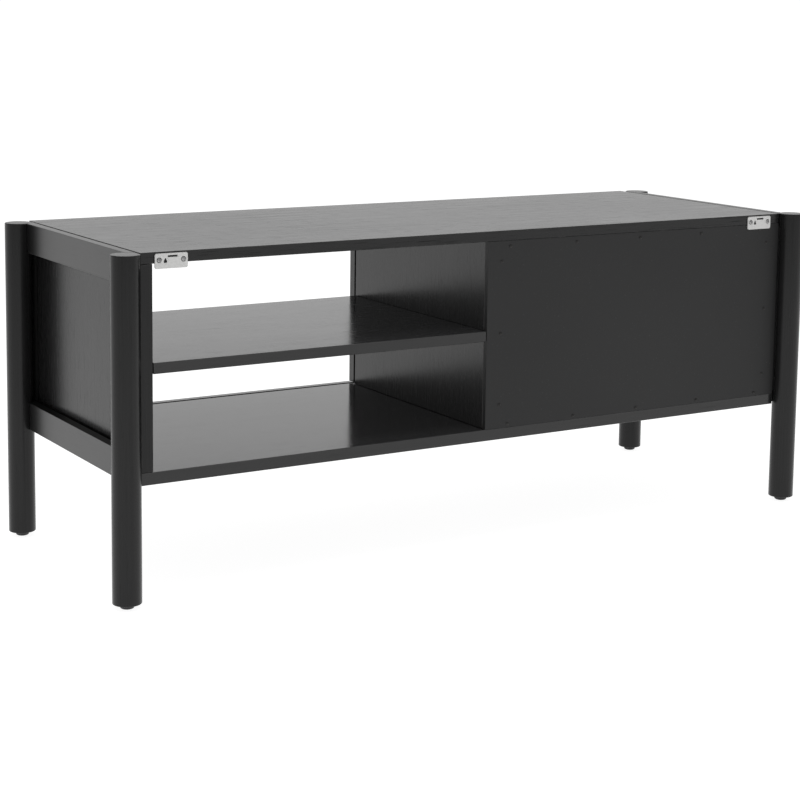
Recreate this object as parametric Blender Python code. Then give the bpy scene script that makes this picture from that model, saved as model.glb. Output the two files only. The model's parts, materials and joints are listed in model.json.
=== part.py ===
"""Low media cabinet on two ladder end frames, modelled as separate pieces.

Metres, +Z up. The origin is on the floor at the centre of the footprint, +X runs along the length and
the front, with its sliding door, faces -Y. A box carcase of black veneered boards hangs between two end
frames, each of two round legs joined by a top and a bottom rail. The bay at -X is closed by a back panel
and by the door at rest; the bay at +X is open at its front and back. The door slides to +X in two tracks.
"""
import bpy
import bmesh
from math import cos, sin, pi
from mathutils import Matrix, Vector

# Overall size
HEIGHT = 0.500
LEG_SPAN_X = 1.222          # centre to centre, along the length
LEG_SPAN_Y = 0.421          # centre to centre, front to back
FIT_GAP = 0.0003            # between pieces that touch
LEG_SIDES = 40              # facets round a leg, a foot, and a bolt, pin or hole
FOOT_SIDES = 28
FIXING_SIDES = 14

# End frames
LEG_RADIUS = 0.021
LEG_BOTTOM_Z = 0.0073
RAIL_THICKNESS = 0.014
RAIL_SPANS = {"bottom": (0.1735, 0.2165), "top": (0.454, HEIGHT)}     # lower and upper edge of each rail
EDGE_BEVEL = 0.0005

# Carcase
FRAME_GAP = 0.0035          # open joint between the end frames and the carcase
TOP_BOARD = 0.016
BOTTOM_BOARD = 0.018
UPRIGHT_BOARD = 0.018
SHELF_BOARD = 0.016
BACK_BOARD = 0.008
BOTTOM_PANEL_Z = 0.1707
CARCASE_BACK_Y = 0.206
CARCASE_FRONT_Y = -0.2295
INNER_FRONT_Y = -0.2005     # front edges of the shelves and the divider, behind the door
DIVIDER_FACE_X = 0.0085     # the divider's face in the open bay
SHELF_PLAY = 0.001

# Back cleats, screwed through the back panel
CLEAT_WIDTH = 0.020
CLEAT_DEPTH = 0.016
BOTTOM_CLEAT_HEIGHT = 0.028

# Sliding door and its tracks
DOOR_BACK_Y = -0.2045
DOOR_THICKNESS = 0.016
DOOR_CLEARANCE = 0.0025     # above and below the door
GROOVE_WIDTH = 0.008
GROOVE_DEPTH = 0.007
TRACK_WALL = 0.0012
GLIDE_LENGTH = 0.060
GUIDE_LENGTH = 0.500        # the one guide along the door's top edge
GLIDE_WIDTH = 0.0064
GLIDE_HEIGHT = 0.0097
GLIDE_INSET = 0.065         # glide centre from the door's side edge
TOP_PLAY = 0.0010           # between a top guide's tongue and the track's web
PULL_SIZE = Vector((0.010, 0.0085, 0.120))
PULL_INSET = 0.026
PULL_BEVEL = 0.0015
BUMPER_RADIUS = 0.004
BUMPER_THICKNESS = 0.002
BUMPER_Z = 0.300

# Levelling feet and the inserts that they screw into
FOOT_RADIUS = 0.0105
FOOT_HEIGHT = 0.0070
STEM_RADIUS = 0.004
STEM_LENGTH = 0.026
INSERT_RADIUS = 0.006
INSERT_LENGTH = 0.016
STEM_HOLE_DEPTH = 0.040

# Bolts and spacer frames between the end frames and the carcase
BOLT_RADIUS = 0.003
BOLT_LENGTH = 0.029
BOLT_HEAD_RADIUS = 0.006
BOLT_HEAD_HEIGHT = 0.003
BOLT_Y = 0.120
BOLT_HEIGHTS = {"bottom": 0.204, "top": 0.469}
SPACER_HEIGHT = 0.018
SPACER_FRONT_Y = -0.2175
SPACER_BACK_Y = 0.2055
SPACER_UPRIGHT = 0.0200     # width of the two uprights, one beside each leg

# Shelf pins
PIN_RADIUS = 0.0025
PIN_COLLAR_RADIUS = 0.005
PIN_IN_BOARD = 0.0065
PIN_REACH = 0.008
PIN_Y = 0.130

# Holes for the screws
SCREW_HOLE_RADIUS = 0.002
BACK_SCREW_LENGTH = 0.020
BRACKET_SCREW_LENGTH = 0.017
BACK_SCREW_INSET = 0.026    # from the back panel's upright edges
BACK_ROW_INSET = 0.016      # from the columns of screws to the ends of the rows
BACK_COLUMN_DROP = 0.145    # from the top panel to the middle of a column
BACK_COLUMN_PITCH = 0.113
BOTTOM_SCREW_RISE = 0.0055
TOP_SCREW_DROP = 0.009

# Wall brackets at the top corners of the back
BRACKET_SIZE = Vector((0.050, 0.002, 0.0215))
BRACKET_CORNER = 0.003
BRACKET_END_GAP = 0.0208    # from the ends of the top panel
BRACKET_TOP_Z = 0.4978
BRACKET_SCREW_SPACING = 0.037
BRACKET_SCREW_RISE = 0.0015
BRACKET_SLOT = Vector((-0.002, 0, 0.0065))
BRACKET_SLOT_SIZE = Vector((0.015, 0, 0.0024))
BRACKET_KEYHOLE = Vector((0.009, 0, 0.0003))
KEYHOLE_RADIUS = 0.0024

# Derived places
FRAME_X = LEG_SPAN_X / 2
FRAME_Y = LEG_SPAN_Y / 2
RAIL_INNER_X = FRAME_X - LEG_RADIUS
RAIL_OUTER_X = RAIL_INNER_X + RAIL_THICKNESS
CARCASE_X = RAIL_INNER_X - FRAME_GAP
INSIDE_X = CARCASE_X - UPRIGHT_BOARD
BAY_BOTTOM_Z = BOTTOM_PANEL_Z + BOTTOM_BOARD
BAY_TOP_Z = HEIGHT - TOP_BOARD
BAY_MIDDLE_Z = (BAY_BOTTOM_Z + BAY_TOP_Z) / 2
SHELF_TOP_Z = BAY_MIDDLE_Z + SHELF_BOARD / 2
DIVIDER_BACK_FACE_X = DIVIDER_FACE_X - UPRIGHT_BOARD
SHELF_BOTTOM_Z = SHELF_TOP_Z - SHELF_BOARD
PANEL_BACK_Y = CARCASE_BACK_Y - BACK_BOARD
DOOR_FRONT_Y = DOOR_BACK_Y - DOOR_THICKNESS
TRACK_Y = (DOOR_BACK_Y + DOOR_FRONT_Y) / 2
DOOR_LOW_X = -INSIDE_X + BUMPER_THICKNESS + 2 * FIT_GAP
DOOR_HIGH_X = DIVIDER_FACE_X
DOOR_MIDDLE_X = (DOOR_LOW_X + DOOR_HIGH_X) / 2
PIN_Z = SHELF_BOTTOM_Z - FIT_GAP - PIN_COLLAR_RADIUS
BOLT_PROFILE = [(0, -BOLT_HEAD_HEIGHT), (BOLT_HEAD_RADIUS * 0.75, -BOLT_HEAD_HEIGHT),
                (BOLT_HEAD_RADIUS, -BOLT_HEAD_HEIGHT * 0.4), (BOLT_HEAD_RADIUS, 0), (BOLT_RADIUS, 0),
                (BOLT_RADIUS, BOLT_LENGTH - BOLT_RADIUS / 2), (BOLT_RADIUS / 2, BOLT_LENGTH),
                (0, BOLT_LENGTH)]
SIDES = {"left": -1, "right": 1}
ENDS = {"front": -1, "back": 1}

MATERIALS = {
    "oak": ((0.020, 0.020, 0.021), 0.42, 0.0),
    "plastic": ((0.012, 0.012, 0.013), 0.50, 0.0),
    "nylon": ((0.55, 0.54, 0.50), 0.45, 0.0),
    "rubber": ((0.05, 0.05, 0.05), 0.80, 0.0),
    "zinc": ((0.72, 0.72, 0.70), 0.35, 0.9),
    "black_steel": ((0.015, 0.015, 0.016), 0.40, 0.8),
    "softwood": ((0.10, 0.085, 0.07), 0.70, 0.0),
}


def clear_scene():
    for old in list(bpy.data.objects):
        bpy.data.objects.remove(old, do_unlink=True)


def make_material(piece, finish):
    """A material of the piece's own, in one of the finishes above."""
    colour, roughness, metallic = MATERIALS[finish]
    material = bpy.data.materials.new(piece)
    material.use_nodes = True
    shader = material.node_tree.nodes["Principled BSDF"]
    shader.inputs["Base Color"].default_value = (*colour, 1.0)
    shader.inputs["Roughness"].default_value = roughness
    shader.inputs["Metallic"].default_value = metallic
    return material


def make_object(name, bm, finish, origin=(0, 0, 0), smooth=False):
    """Turn bm, drawn in world places, into an object whose origin is at origin."""
    origin = Vector(origin)
    bm.normal_update()
    bmesh.ops.translate(bm, verts=bm.verts, vec=-origin)
    mesh = bpy.data.meshes.new(name)
    bm.to_mesh(mesh)
    bm.free()
    if smooth:
        mesh.shade_smooth()
        mesh.set_sharp_from_angle(angle=pi / 6)
    mesh.materials.append(make_material(name, finish))
    piece = bpy.data.objects.new(name, mesh)
    piece.location = origin
    bpy.context.collection.objects.link(piece)
    return piece


def bevel_edges(piece, width=EDGE_BEVEL, segments=1):
    bevel = piece.modifiers.new("Edges", "BEVEL")
    bevel.width = width
    bevel.segments = segments
    bevel.limit_method = "ANGLE"


def cut(piece, bm):
    """Take the solids drawn in bm out of the piece."""
    mesh = bpy.data.meshes.new(piece.name + "_cutter")
    bm.to_mesh(mesh)
    bm.free()
    cutter = bpy.data.objects.new(piece.name + "_cutter", mesh)
    bpy.context.collection.objects.link(cutter)
    cutter.hide_render = True
    cutter.display_type = "WIRE"
    boolean = piece.modifiers.new("Holes", "BOOLEAN")
    boolean.operation = "DIFFERENCE"
    boolean.solver = "EXACT"
    boolean.object = cutter


def add_box(bm, low, high):
    """A box between two corners."""
    low = Vector(low)
    high = Vector(high)
    size = high - low
    place = Matrix.Translation((low + high) / 2) @ Matrix.Diagonal((*size, 1.0))
    bmesh.ops.create_cube(bm, size=1.0, matrix=place)


def axis_turn(axis):
    """The rotation that carries +Z onto a direction."""
    return Vector((0, 0, 1)).rotation_difference(Vector(axis)).to_matrix().to_4x4()


def add_turned(bm, base, axis, profile, sides=FIXING_SIDES):
    """Turn a profile of (radius, height) points about an axis through base, from the axis to the axis."""
    place = Matrix.Translation(base) @ axis_turn(axis)
    rings = []
    for radius, height in profile:
        if radius == 0:
            rings.append([bm.verts.new(place @ Vector((0, 0, height)))])
            continue
        turns = [2 * pi * side / sides for side in range(sides)]
        points = [Vector((radius * cos(turn), radius * sin(turn), height)) for turn in turns]
        rings.append([bm.verts.new(place @ point) for point in points])
    for lower, upper in zip(rings, rings[1:]):
        for side in range(sides):
            after = (side + 1) % sides
            if len(lower) == 1:
                bm.faces.new((lower[0], upper[after], upper[side]))
            elif len(upper) == 1:
                bm.faces.new((lower[side], lower[after], upper[0]))
            else:
                bm.faces.new((lower[side], lower[after], upper[after], upper[side]))


def add_rod(bm, base, axis, radius, length, sides=FIXING_SIDES):
    """A plain round rod that starts at base."""
    add_turned(bm, base, axis, [(0, 0), (radius, 0), (radius, length), (0, length)], sides)


def add_channel(bm, ceiling, length):
    """A U track along X: its lips are flush with the panel's face, or, with ceiling, it opens downwards."""
    outer = GROOVE_WIDTH / 2 - FIT_GAP
    inner = outer - TRACK_WALL
    deep = GROOVE_DEPTH - FIT_GAP
    shallow = deep - TRACK_WALL
    outline = [(-outer, 0), (-outer, -deep), (outer, -deep), (outer, 0), (inner, 0), (inner, -shallow),
               (-inner, -shallow), (-inner, 0)]
    add_profile(bm, outline, -length / 2, length / 2, ceiling)


def add_profile(bm, outline, start, end, ceiling):
    """Extrude an outline of (across, height) along X, in the bottom track or, upside down, in the top one."""
    face_z = BAY_TOP_Z if ceiling else BAY_BOTTOM_Z
    flip = -1 if ceiling else 1
    first = [bm.verts.new((start, TRACK_Y + across, face_z + flip * height)) for across, height in outline]
    last = [bm.verts.new((end, vertex.co.y, vertex.co.z)) for vertex in first]
    bm.faces.new(first)
    bm.faces.new(reversed(last))
    for index in range(len(first)):
        after = (index + 1) % len(first)
        bm.faces.new((first[after], first[index], last[index], last[after]))
    bmesh.ops.recalc_face_normals(bm, faces=bm.faces)


def frame_bolt_places(side):
    """Where each bolt's axis meets the carcase's outer face at one end, by the bolt's name."""
    return {level + "_" + end: Vector((SIDES[side] * CARCASE_X, front * BOLT_Y, height))
            for end, front in ENDS.items() for level, height in BOLT_HEIGHTS.items()}


def bracket_centre(side):
    """Middle of the bracket's face that lies on the carcase."""
    x = CARCASE_X - BRACKET_END_GAP - BRACKET_SIZE.x / 2
    return Vector((SIDES[side] * x, CARCASE_BACK_Y + FIT_GAP, BRACKET_TOP_Z - BRACKET_SIZE.z / 2))


def bracket_screw_places(side):
    """Where the two screws pass through the bracket's back face."""
    reach = BRACKET_SCREW_SPACING / 2
    return [bracket_centre(side) + Vector((step * reach, 0, BRACKET_SCREW_RISE)) for step in (-1, 1)]


def back_screw_places():
    """Screw holes round the back panel: five along the top and the bottom, and three up each side."""
    columns = (-CARCASE_X + BACK_SCREW_INSET, DIVIDER_FACE_X - BACK_SCREW_INSET)
    start, end = columns[0] + BACK_ROW_INSET, columns[1] - BACK_ROW_INSET
    rows = (BAY_BOTTOM_Z + BOTTOM_SCREW_RISE, BAY_TOP_Z - TOP_SCREW_DROP)
    places = [(start + (end - start) * step / 4, z) for z in rows for step in range(5)]
    heights = [BAY_TOP_Z - BACK_COLUMN_DROP + step * BACK_COLUMN_PITCH for step in (-1, 0, 1)]
    places += [(x, z) for x in columns for z in heights]
    return [Vector((x, CARCASE_BACK_Y + FIT_GAP, z)) for x, z in places]


def make_end_panels():
    """The top and bottom panels, with the grooves for the door's tracks and the bracket screw holes."""
    groove = Vector((INSIDE_X, GROOVE_WIDTH / 2, GROOVE_DEPTH))
    panels = {"top_panel": (BAY_TOP_Z, HEIGHT, BAY_TOP_Z),
              "bottom_panel": (BOTTOM_PANEL_Z, BAY_BOTTOM_Z, BAY_BOTTOM_Z)}
    for name, (low_z, high_z, face_z) in panels.items():
        bm = bmesh.new()
        add_box(bm, (-CARCASE_X, CARCASE_FRONT_Y, low_z), (CARCASE_X, CARCASE_BACK_Y, high_z))
        panel = make_object(name, bm, "oak")
        bevel_edges(panel)
        holes = bmesh.new()
        middle = Vector((0, TRACK_Y, face_z))
        add_box(holes, middle - groove, middle + groove)
        if name == "top_panel":
            for side in SIDES:
                for place in bracket_screw_places(side):
                    add_rod(holes, place, (0, -1, 0), SCREW_HOLE_RADIUS, BRACKET_SCREW_LENGTH)
        cut(panel, holes)


def make_side_panels():
    """The upright ends, drilled for the frame bolts and the shelf pins."""
    for side, sign in SIDES.items():
        back_y = CARCASE_BACK_Y if side == "right" else PANEL_BACK_Y - FIT_GAP
        near, far = sorted((sign * INSIDE_X, sign * CARCASE_X))
        bm = bmesh.new()
        add_box(bm, (near, CARCASE_FRONT_Y, BAY_BOTTOM_Z + FIT_GAP), (far, back_y, BAY_TOP_Z - FIT_GAP))
        panel = make_object("side_panel_" + side, bm, "oak")
        bevel_edges(panel)
        holes = bmesh.new()
        for place in frame_bolt_places(side).values():
            start = place + Vector((sign * FRAME_GAP, 0, 0))
            add_rod(holes, start, (-sign, 0, 0), BOLT_RADIUS + FIT_GAP, UPRIGHT_BOARD + 2 * FRAME_GAP)
        for y in (-PIN_Y, PIN_Y):
            add_pin_hole(holes, sign * INSIDE_X, y, -sign)
        cut(panel, holes)


def add_pin_hole(bm, face_x, y, out):
    """A blind hole for a shelf pin, in the face at face_x that looks along out."""
    base = (face_x + out * PIN_REACH, y, PIN_Z)
    add_rod(bm, base, (-out, 0, 0), PIN_RADIUS + FIT_GAP, PIN_REACH + PIN_IN_BOARD + FIT_GAP)


def make_divider():
    bm = bmesh.new()
    add_box(bm, (DIVIDER_BACK_FACE_X, INNER_FRONT_Y, BAY_BOTTOM_Z + FIT_GAP),
            (DIVIDER_FACE_X, PANEL_BACK_Y - FIT_GAP, BAY_TOP_Z - FIT_GAP))
    divider = make_object("centre_divider", bm, "oak")
    bevel_edges(divider)
    holes = bmesh.new()
    for y in (-PIN_Y, PIN_Y):
        add_pin_hole(holes, DIVIDER_FACE_X, y, 1)
        add_pin_hole(holes, DIVIDER_BACK_FACE_X, y, -1)
    cut(divider, holes)


def make_shelves():
    """One shelf in each bay, on pins. The closed bay's shelf stops in front of the back cleats."""
    closed_back_y = PANEL_BACK_Y - CLEAT_DEPTH - 2 * SHELF_PLAY
    spans = {"open_bay_shelf": (DIVIDER_FACE_X + SHELF_PLAY, INSIDE_X - SHELF_PLAY, CARCASE_BACK_Y),
             "closed_bay_shelf": (-INSIDE_X + SHELF_PLAY, DIVIDER_BACK_FACE_X - SHELF_PLAY, closed_back_y)}
    for name, (low_x, high_x, back_y) in spans.items():
        bm = bmesh.new()
        add_box(bm, (low_x, INNER_FRONT_Y, SHELF_BOTTOM_Z), (high_x, back_y, SHELF_TOP_Z))
        bevel_edges(make_object(name, bm, "oak"))


def make_shelf_pins():
    """Four pins a shelf: a plug in the board and a wider stud under the shelf."""
    faces = {"open_bay_left": (DIVIDER_FACE_X, 1), "open_bay_right": (INSIDE_X, -1),
             "closed_bay_left": (-INSIDE_X, 1), "closed_bay_right": (DIVIDER_BACK_FACE_X, -1)}
    profile = [(0, -PIN_IN_BOARD), (PIN_RADIUS, -PIN_IN_BOARD), (PIN_RADIUS, FIT_GAP),
               (PIN_COLLAR_RADIUS, FIT_GAP), (PIN_COLLAR_RADIUS, PIN_REACH), (0, PIN_REACH)]
    for place, (face_x, out) in faces.items():
        for end, front in ENDS.items():
            bm = bmesh.new()
            add_turned(bm, (face_x, front * PIN_Y, PIN_Z), (out, 0, 0), profile)
            make_object("shelf_pin_%s_%s" % (place, end), bm, "zinc", smooth=True)


def make_back_panel():
    """The closed bay's back, laid over the divider's and the side panel's back edges."""
    bm = bmesh.new()
    add_box(bm, (-CARCASE_X, PANEL_BACK_Y, BAY_BOTTOM_Z + FIT_GAP),
            (DIVIDER_FACE_X, CARCASE_BACK_Y, BAY_TOP_Z - FIT_GAP))
    panel = make_object("back_panel", bm, "oak")
    bevel_edges(panel, EDGE_BEVEL / 2)
    holes = bmesh.new()
    for place in back_screw_places():
        add_rod(holes, place, (0, -1, 0), SCREW_HOLE_RADIUS, 2 * BACK_BOARD)
    cut(panel, holes)


def make_back_cleats():
    """Battens inside the closed bay that take the back panel's screws."""
    low = Vector((-INSIDE_X + FIT_GAP, PANEL_BACK_Y - FIT_GAP - CLEAT_DEPTH, BAY_BOTTOM_Z + FIT_GAP))
    high = Vector((DIVIDER_BACK_FACE_X - FIT_GAP, PANEL_BACK_Y - FIT_GAP, BAY_TOP_Z - FIT_GAP))
    upright_low_z = low.z + BOTTOM_CLEAT_HEIGHT + FIT_GAP
    upright_high_z = high.z - CLEAT_WIDTH - FIT_GAP
    boxes = {
        "back_cleat_bottom": (low, (high.x, high.y, low.z + BOTTOM_CLEAT_HEIGHT)),
        "back_cleat_top": ((low.x, low.y, high.z - CLEAT_WIDTH), high),
        "back_cleat_side": ((low.x, low.y, upright_low_z), (low.x + CLEAT_WIDTH, high.y, upright_high_z)),
        "back_cleat_divider": ((high.x - CLEAT_WIDTH, low.y, upright_low_z),
                               (high.x, high.y, upright_high_z)),
    }
    for name, (box_low, box_high) in boxes.items():
        bm = bmesh.new()
        add_box(bm, box_low, box_high)
        cleat = make_object(name, bm, "softwood")
        holes = bmesh.new()
        for place in back_screw_places():
            if box_low[0] < place.x < box_high[0] and box_low[2] < place.z < box_high[2]:
                add_rod(holes, place, (0, -1, 0), SCREW_HOLE_RADIUS, BACK_SCREW_LENGTH)
        cut(cleat, holes)


def make_legs():
    """Round legs, bored from below for a threaded insert and the foot's stem."""
    bore = INSERT_RADIUS + FIT_GAP
    bore_depth = INSERT_LENGTH + 2 * FIT_GAP
    stem_bore = STEM_RADIUS + FIT_GAP
    length = HEIGHT - LEG_BOTTOM_Z
    profile = [(0, STEM_HOLE_DEPTH), (stem_bore, STEM_HOLE_DEPTH), (stem_bore, bore_depth),
               (bore, bore_depth), (bore, 0), (LEG_RADIUS - EDGE_BEVEL, 0), (LEG_RADIUS, EDGE_BEVEL),
               (LEG_RADIUS, length - EDGE_BEVEL), (LEG_RADIUS - EDGE_BEVEL, length), (0, length)]
    for name, base in leg_places().items():
        bm = bmesh.new()
        add_turned(bm, base, (0, 0, 1), profile, LEG_SIDES)
        make_object("leg_" + name, bm, "oak", base, smooth=True)


def leg_places():
    """Centre of each leg's lower end."""
    return {end + "_" + side: Vector((sign * FRAME_X, front * FRAME_Y, LEG_BOTTOM_Z))
            for side, sign in SIDES.items() for end, front in ENDS.items()}


def make_leg_inserts():
    """Threaded tubes in the legs' lower ends."""
    inner = STEM_RADIUS + FIT_GAP
    profile = [(inner, 0), (INSERT_RADIUS, 0), (INSERT_RADIUS, INSERT_LENGTH), (inner, INSERT_LENGTH),
               (inner, 0)]
    for name, base in leg_places().items():
        bm = bmesh.new()
        add_turned(bm, base + Vector((0, 0, FIT_GAP)), (0, 0, 1), profile)
        bmesh.ops.remove_doubles(bm, verts=bm.verts, dist=FIT_GAP / 10)
        make_object("leg_insert_" + name, bm, "zinc", base, smooth=True)


def make_feet():
    """Levelling feet: a stepped pad on a stem that screws into the leg's insert."""
    step = FOOT_RADIUS * 0.80
    profile = [(0, 0), (FOOT_RADIUS - EDGE_BEVEL, 0), (FOOT_RADIUS, EDGE_BEVEL),
               (FOOT_RADIUS, FOOT_HEIGHT * 0.55), (step, FOOT_HEIGHT * 0.80), (step, FOOT_HEIGHT),
               (STEM_RADIUS, FOOT_HEIGHT), (STEM_RADIUS, FOOT_HEIGHT + STEM_LENGTH),
               (0, FOOT_HEIGHT + STEM_LENGTH)]
    for name, place in leg_places().items():
        base = Vector((place.x, place.y, 0))
        bm = bmesh.new()
        add_turned(bm, base, (0, 0, 1), profile, FOOT_SIDES)
        make_object("foot_" + name, bm, "plastic", base, smooth=True)


def make_rails():
    """Top and bottom rails, coped to the round legs and bored for the frame bolts."""
    for side, sign in SIDES.items():
        near, far = sorted((sign * RAIL_INNER_X, sign * RAIL_OUTER_X))
        for level, (low_z, high_z) in RAIL_SPANS.items():
            bm = bmesh.new()
            add_box(bm, (near, -FRAME_Y, low_z), (far, FRAME_Y, high_z))
            rail = make_object("%s_rail_%s" % (level, side), bm, "oak")
            bevel_edges(rail)
            holes = bmesh.new()
            for front in ENDS.values():
                base = (sign * FRAME_X, front * FRAME_Y, LEG_BOTTOM_Z)
                add_rod(holes, base, (0, 0, 1), LEG_RADIUS + FIT_GAP, 2 * HEIGHT, LEG_SIDES)
                bolt = frame_bolt_places(side)[level + ("_back" if front > 0 else "_front")]
                reach = UPRIGHT_BOARD + FIT_GAP
                add_rod(holes, bolt, (sign, 0, 0), BOLT_RADIUS + FIT_GAP, BOLT_LENGTH - reach + 2 * FIT_GAP)
            cut(rail, holes)


def make_frame_fixings():
    """Per end: a spacer frame that keeps the open joint, and four bolts driven from inside the carcase."""
    for side, sign in SIDES.items():
        bolts = frame_bolt_places(side)
        for name, place in bolts.items():
            head = Vector((sign * (INSIDE_X - FIT_GAP), place.y, place.z))
            bm = bmesh.new()
            add_turned(bm, head, (sign, 0, 0), BOLT_PROFILE)
            make_object("frame_bolt_%s_%s" % (name, side), bm, "black_steel", head, smooth=True)
        near, far = sorted((sign * (CARCASE_X + FIT_GAP), sign * (RAIL_INNER_X - FIT_GAP)))
        low_z = BOLT_HEIGHTS["bottom"] - SPACER_HEIGHT / 2
        high_z = BOLT_HEIGHTS["top"] + SPACER_HEIGHT / 2
        bm = bmesh.new()
        add_box(bm, (near, SPACER_FRONT_Y, low_z), (far, SPACER_BACK_Y, high_z))
        spacer = make_object("frame_spacer_" + side, bm, "plastic")
        holes = bmesh.new()
        add_box(holes, (near - FRAME_GAP, SPACER_FRONT_Y + SPACER_UPRIGHT, low_z + SPACER_HEIGHT),
                (far + FRAME_GAP, SPACER_BACK_Y - SPACER_UPRIGHT, high_z - SPACER_HEIGHT))
        for place in bolts.values():
            start = place - Vector((sign * FRAME_GAP, 0, 0))
            add_rod(holes, start, (sign, 0, 0), BOLT_RADIUS + FIT_GAP, 3 * FRAME_GAP)
        cut(spacer, holes)


def make_brackets():
    """Flat steel plates, screwed to the top panel's back edge, with a slot and a keyhole for a wall strap."""
    half = BRACKET_SIZE / 2
    for side in SIDES:
        centre = bracket_centre(side)
        bm = bmesh.new()
        add_box(bm, centre - Vector((half.x, 0, half.z)), centre + Vector((half.x, BRACKET_SIZE.y, half.z)))
        corners = [edge for edge in bm.edges if abs(edge.verts[0].co.y - edge.verts[1].co.y) > FIT_GAP]
        bmesh.ops.bevel(bm, geom=corners, offset=BRACKET_CORNER, segments=4, affect="EDGES", profile=0.5)
        plate = make_object("wall_bracket_" + side, bm, "zinc")
        holes = bmesh.new()
        through = Vector((0, 2 * BRACKET_SIZE.y, 0))
        for place in bracket_screw_places(side):
            add_rod(holes, place + through, (0, -1, 0), SCREW_HOLE_RADIUS, 2 * through.y)
        keyhole = centre + BRACKET_KEYHOLE
        add_rod(holes, keyhole + through, (0, -1, 0), KEYHOLE_RADIUS, 2 * through.y)
        slot = centre + BRACKET_SLOT
        slot_half = Vector((BRACKET_SLOT_SIZE.x / 2, through.y, BRACKET_SLOT_SIZE.z / 2))
        add_box(holes, slot - slot_half, slot + slot_half)
        cut(plate, holes)


def door_glide_places():
    return (DOOR_LOW_X + GLIDE_INSET, DOOR_HIGH_X - GLIDE_INSET)


def make_door():
    """A plain veneered panel with pockets for its glides and its top guide."""
    low_z = BAY_BOTTOM_Z + DOOR_CLEARANCE
    high_z = BAY_TOP_Z - DOOR_CLEARANCE
    bm = bmesh.new()
    add_box(bm, (DOOR_LOW_X, DOOR_FRONT_Y, low_z), (DOOR_HIGH_X, DOOR_BACK_Y, high_z))
    door = make_object("sliding_door", bm, "oak")
    bevel_edges(door)
    holes = bmesh.new()
    pockets = [(x, low_z, GLIDE_LENGTH / 2) for x in door_glide_places()]
    pockets.append((DOOR_MIDDLE_X, high_z, GUIDE_LENGTH / 2))
    for x, edge_z, reach in pockets:
        half = Vector((reach + FIT_GAP, GLIDE_WIDTH / 2 + FIT_GAP, GLIDE_HEIGHT + FIT_GAP))
        pocket = Vector((x, TRACK_Y, edge_z))
        add_box(holes, pocket - half, pocket + half)
    cut(door, holes)


def make_door_slides():
    """Glides under the door and a guide over it: a block in the door and a tongue in the track."""
    slides = {"door_glide_left": (door_glide_places()[0], GLIDE_LENGTH, False),
              "door_glide_right": (door_glide_places()[1], GLIDE_LENGTH, False),
              "door_top_guide": (DOOR_MIDDLE_X, GUIDE_LENGTH, True)}
    tongue = GROOVE_WIDTH / 2 - 2 * FIT_GAP - TRACK_WALL
    block = GLIDE_WIDTH / 2
    web = GROOVE_DEPTH - FIT_GAP - TRACK_WALL
    top = DOOR_CLEARANCE + GLIDE_HEIGHT
    for name, (x, length, ceiling) in slides.items():
        tip = (TOP_PLAY if ceiling else FIT_GAP) - web
        outline = [(-tongue, tip), (tongue, tip), (tongue, DOOR_CLEARANCE), (block, DOOR_CLEARANCE),
                   (block, top),
                   (-block, top), (-block, DOOR_CLEARANCE), (-tongue, DOOR_CLEARANCE)]
        bm = bmesh.new()
        add_profile(bm, outline, x - length / 2, x + length / 2, ceiling)
        make_object(name, bm, "nylon")


def make_pulls():
    """A grip bar near each of the door's upright edges."""
    pulls = {"left": DOOR_LOW_X + PULL_INSET, "right": DOOR_HIGH_X - PULL_INSET}
    for side, x in pulls.items():
        low = Vector((x - PULL_SIZE.x / 2, DOOR_FRONT_Y - FIT_GAP - PULL_SIZE.y,
                      BAY_MIDDLE_Z - PULL_SIZE.z / 2))
        bm = bmesh.new()
        add_box(bm, low, low + PULL_SIZE)
        pull = make_object("door_pull_" + side, bm, "black_steel")
        bevel_edges(pull, PULL_BEVEL, 2)


def make_tracks():
    for name, ceiling in (("bottom_track", False), ("top_track", True)):
        bm = bmesh.new()
        add_channel(bm, ceiling, 2 * (INSIDE_X - FIT_GAP))
        make_object(name, bm, "plastic")


def make_bumpers():
    """A rubber stop on each side panel, in the door's path."""
    for side, sign in SIDES.items():
        base = Vector((sign * (INSIDE_X - FIT_GAP), TRACK_Y, BUMPER_Z))
        bm = bmesh.new()
        add_rod(bm, base, (-sign, 0, 0), BUMPER_RADIUS, BUMPER_THICKNESS)
        make_object("door_bumper_" + side, bm, "rubber", base, smooth=True)


def main():
    clear_scene()
    make_end_panels()
    make_side_panels()
    make_divider()
    make_shelves()
    make_shelf_pins()
    make_back_panel()
    make_back_cleats()
    make_legs()
    make_leg_inserts()
    make_feet()
    make_rails()
    make_frame_fixings()
    make_brackets()
    make_door()
    make_door_slides()
    make_pulls()
    make_tracks()
    make_bumpers()


main()
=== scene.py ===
"""Looks of the media cabinet: black-stained oak, finer turned fittings, and a white studio."""

import json
from math import cos, pi, radians, sin

import bmesh
import bpy
from mathutils import Matrix, Vector


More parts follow.
